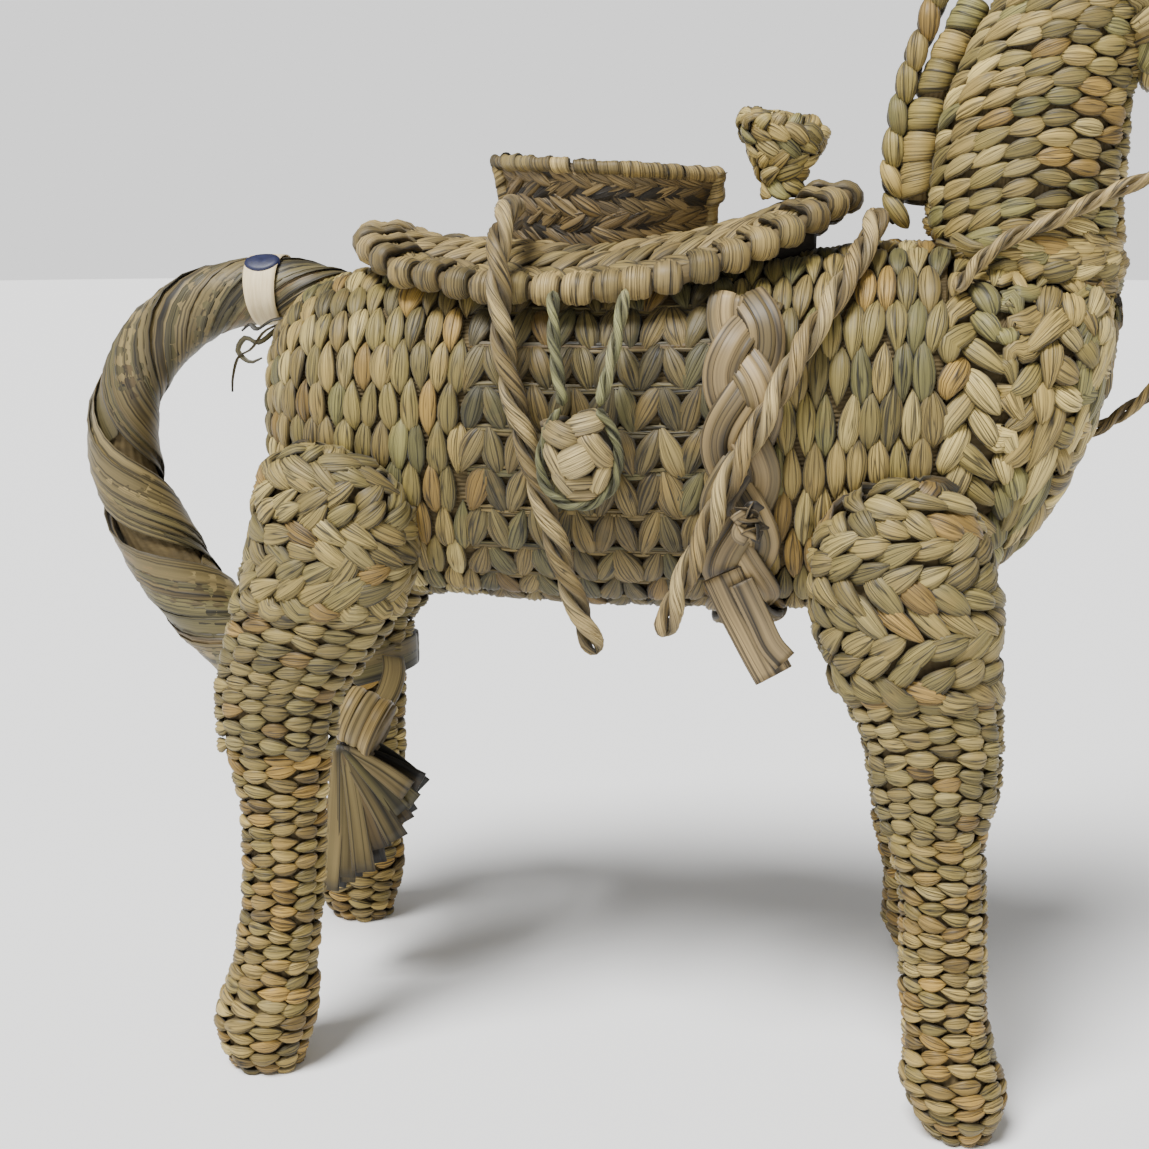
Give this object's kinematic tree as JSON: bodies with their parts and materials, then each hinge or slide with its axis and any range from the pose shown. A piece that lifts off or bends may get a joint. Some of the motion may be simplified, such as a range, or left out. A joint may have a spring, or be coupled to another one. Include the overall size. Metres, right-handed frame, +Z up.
{
  "type": "woven straw horse",
  "caption": "Standing toy horse woven from rush leaves over a wire frame, with a saddle, girth, swinging stirrups, reins, plaited mane and bound tail.",
  "frame": {"origin": "on the ground under the middle of the horse: the centre of the lowest face of its bounding box", "axes": "+X towards the muzzle, +Y towards the far side (the horse's left), +Z up"},
  "size_m": [0.5295, 0.201, 0.561],
  "materials": {
    "rush_weave": "dry woven rush leaf, matt with a faint sheen",
    "coarse_braid": "coarse plaited rush leaf, olive straw",
    "flat_leaf": "flat dried leaf, pinkish tan with fine ribs",
    "twisted_rope": "two-ply rope of twisted rush leaf",
    "green_cord": "thin twisted cord of greenish leaf",
    "cream_braid": "pale interlaced leaf",
    "paper_label": "plain cream paper band, blank",
    "wire": "dull annealed wire",
    "stuffing": "loose dry straw in shadow"
  },
  "bodies": {
    "horse": {"barrel_weave": "rush_weave", "neck_weave": "rush_weave", "saddle_mat": "rush_weave", "saddle_rim": "rush_weave", "cantle_band": "rush_weave", "saddle_horn": "rush_weave", "mane_outer_plait": "rush_weave", "mane_inner_beads": "rush_weave", "near_ear": "rush_weave", "far_ear": "rush_weave", "near_hind_thigh": "rush_weave", "near_hind_shin": "rush_weave", "near_hind_hoof": "rush_weave", "far_hind_thigh": "rush_weave", "far_hind_shin": "rush_weave", "far_hind_hoof": "rush_weave", "near_front_thigh": "rush_weave", "near_front_shin": "rush_weave", "near_front_hoof": "rush_weave", "far_front_thigh": "rush_weave", "far_front_shin": "rush_weave", "far_front_hoof": "rush_weave", "chest_braid": "coarse_braid", "head_braid": "coarse_braid", "near_hind_hip_cap": "coarse_braid", "far_hind_hip_cap": "coarse_braid", "near_front_hip_cap": "coarse_braid", "far_front_hip_cap": "coarse_braid", "tail_bundle": "flat_leaf", "tail_tie_band": "flat_leaf", "tail_tassel": "flat_leaf", "girth_braid": "flat_leaf", "girth_knot": "flat_leaf", "girth_loose_end": "flat_leaf", "forelock": "flat_leaf", "near_front_rope": "twisted_rope", "near_rear_rope": "twisted_rope", "far_front_rope": "twisted_rope", "far_rear_rope": "twisted_rope", "near_rein": "twisted_rope", "far_rein": "twisted_rope", "noseband": "twisted_rope", "blank_paper_label": "paper_label", "spine_wire": "wire", "tail_wire": "wire", "near_hind_leg_wire": "wire", "far_hind_leg_wire": "wire", "near_front_leg_wire": "wire", "far_front_leg_wire": "wire", "straw_stuffing": "stuffing"},
    "near_stirrup_hanger": {"near_stirrup": "cream_braid", "near_stirrup_rear_cord": "green_cord", "near_stirrup_front_cord": "green_cord"},
    "far_stirrup_hanger": {"far_stirrup": "cream_braid", "far_stirrup_rear_cord": "green_cord", "far_stirrup_front_cord": "green_cord"}
  },
  "joints": [
    {"name": "near_stirrup_swing", "type": "hinge", "parent": "horse", "child": "near_stirrup_hanger", "pos_m": [-0.007, -0.068, 0.3525], "axis": [-1, 0, 0], "range_deg": [0, 75]},
    {"name": "far_stirrup_swing", "type": "hinge", "parent": "horse", "child": "far_stirrup_hanger", "pos_m": [-0.007, 0.068, 0.3525], "axis": [1, 0, 0], "range_deg": [0, 75]}
  ]
}
